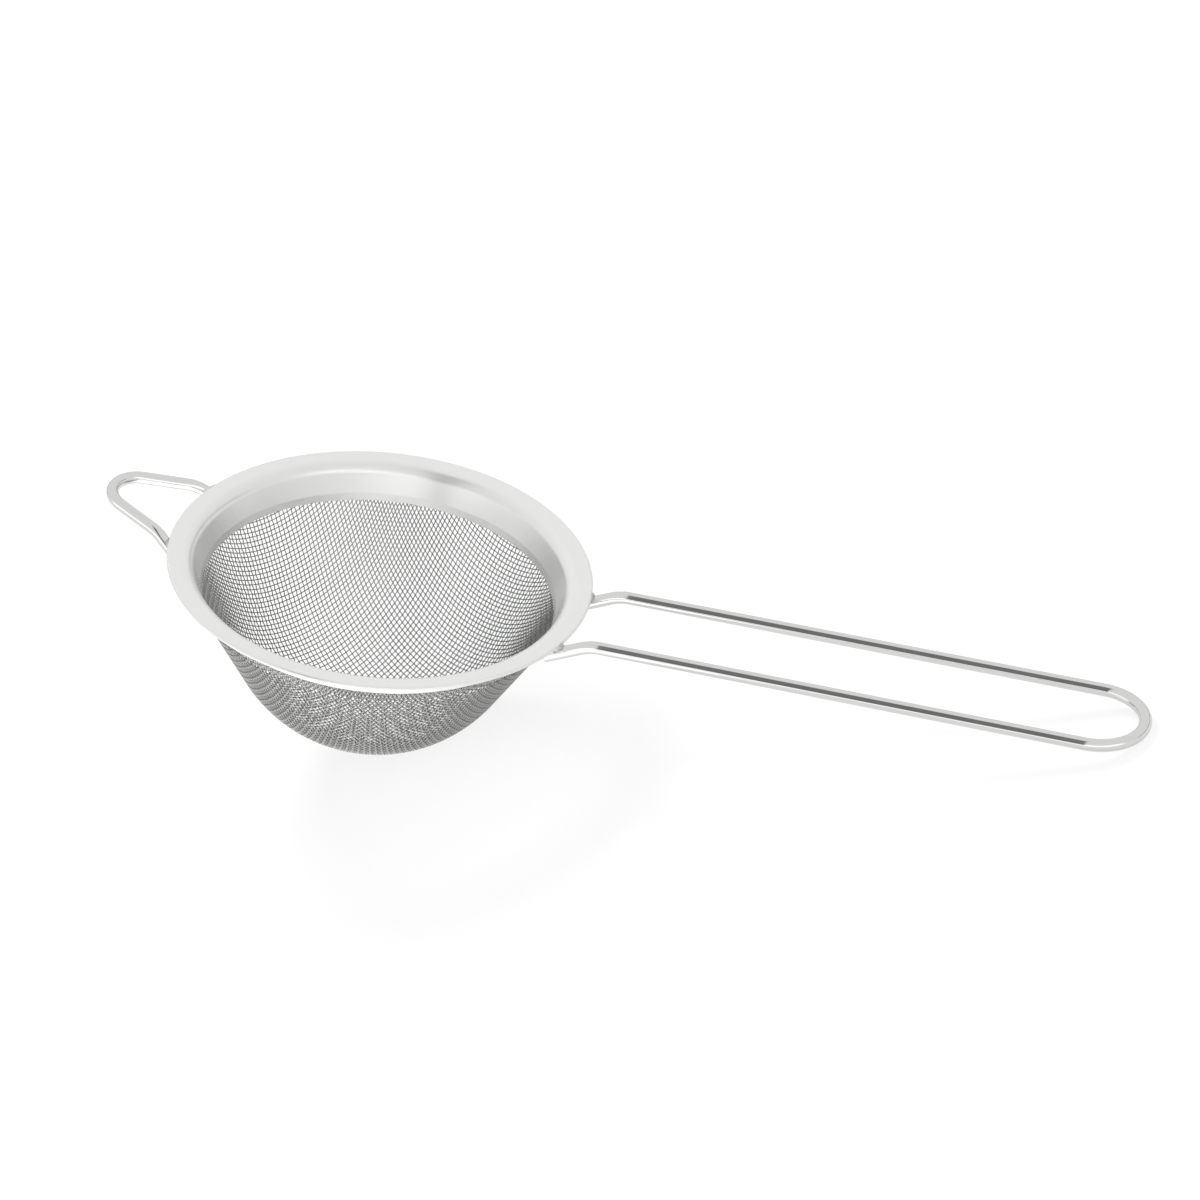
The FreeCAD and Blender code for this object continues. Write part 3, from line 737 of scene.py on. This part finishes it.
def makeWorld():
    # white walls all round, brighter low on the near side; a dark drape there gives the wires their
    # streak. The camera itself sees plain white
    world = bpy.data.worlds.new("whiteStudio")
    bpy.context.scene.world = world
    world.use_nodes = True
    tree = world.node_tree
    tree.nodes.clear()
    place = addNode(tree, "ShaderNodeTexCoord").outputs["Generated"]
    high = alongDirection(tree, place, (0, 0, 1))
    offSide = arithmetic(tree, "ADD", alongDirection(tree, place, studioLook["handleHeading"]),
                         studioLook["drapeSide"])
    inside = ramp(tree, arithmetic(tree, "ABSOLUTE", offSide, 0.0), *studioLook["drapeHalf"], 1, 0)
    near = ramp(tree, alongDirection(tree, place, studioLook["drapeMiddle"]),
                *studioLook["drapeReach"], 0, 1)
    drapeShare = arithmetic(tree, "MULTIPLY", inside, near)
    drapeTone = ramp(tree, high, *studioLook["drapeHigh"], *studioLook["drapeLevels"])
    low = ramp(tree, high, *studioLook["skirtHigh"], 1, 0)
    behind = ramp(tree, alongDirection(tree, place, (0, 1, 0)), *studioLook["skirtBehind"], 0, 1)
    skirtShare = arithmetic(tree, "MULTIPLY", low, behind)
    facing = ramp(tree, alongDirection(tree, place, (0, -1, 0)), *studioLook["nearSide"], 0, 1)
    nearShare = arithmetic(tree, "MULTIPLY", ramp(tree, high, *studioLook["nearHigh"], 1, 0), facing)
    bright = addNode(tree, "ShaderNodeMix", {"data_type": "FLOAT"},
                     {2: studioLook["roomLevel"], 3: studioLook["nearLevel"]}, {0: nearShare})
    walls = addNode(tree, "ShaderNodeMix", {"data_type": "FLOAT"},
                    {3: studioLook["skirtLevel"]}, {0: skirtShare, 2: bright.outputs[0]})
    level = addNode(tree, "ShaderNodeMix", {"data_type": "FLOAT"}, None,
                    {0: drapeShare, 2: walls.outputs[0], 3: drapeTone})
    room = addNode(tree, "ShaderNodeBackground", links={"Strength": level.outputs[0]})
    plain = addNode(tree, "ShaderNodeBackground", values={"Strength": 1.0})
    path = addNode(tree, "ShaderNodeLightPath")
    both = addNode(tree, "ShaderNodeMixShader", None, None,
                   {0: path.outputs["Is Camera Ray"], 1: room.outputs[0], 2: plain.outputs[0]})
    addNode(tree, "ShaderNodeOutputWorld", links={"Surface": both.outputs[0]})


softboxes = {
    # name: where it stands and aims (metres), its side, its power in watts
    "backLight": ((-0.7, 0.75, 0.9), (0, 0, 0.02), 0.45, 10.0),
    "frontLight": ((0.7, -1.0, 0.9), (0, 0, 0.02), 0.7, 4.0)}


def makeLights():
    # the lamps are kept out of what the metal mirrors, because they would burn out the brim
    for name, (place, aim, side, power) in softboxes.items():
        lamp = bpy.data.lights.new(name, "AREA")
        lamp.energy = power
        lamp.size = side
        light = bpy.data.objects.new(name, lamp)
        light.location = place
        light.visible_glossy = False
        light.rotation_euler = (Vector(place) - Vector(aim)).to_track_quat("Z", "Y").to_euler()
        bpy.context.scene.collection.objects.link(light)


cameraLook = {"aim": (-0.00709, 0.00994, 0.02503), "distance": 0.7290, "azimuth": -65.703,
              "elevation": 27.607, "roll": -12.590, "lens": 108.5, "sensor": 36}


def makeCamera():
    azimuth, elevation = math.radians(cameraLook["azimuth"]), math.radians(cameraLook["elevation"])
    back = Vector((math.cos(elevation) * math.cos(azimuth), math.cos(elevation) * math.sin(azimuth),
                   math.sin(elevation)))
    lens = bpy.data.cameras.new("productCamera")
    lens.lens = cameraLook["lens"]
    lens.sensor_width = cameraLook["sensor"]
    camera = bpy.data.objects.new("productCamera", lens)
    camera.location = Vector(cameraLook["aim"]) + back * cameraLook["distance"]
    turn = back.to_track_quat("Z", "Y") @ Quaternion((0, 0, 1), math.radians(cameraLook["roll"]))
    camera.rotation_euler = turn.to_euler()
    bpy.context.scene.collection.objects.link(camera)
    bpy.context.scene.camera = camera


makeFloor()
makeWorld()
makeLights()
makeCamera()
bpy.context.scene.view_settings.view_transform = "Standard"
print("studio ready")
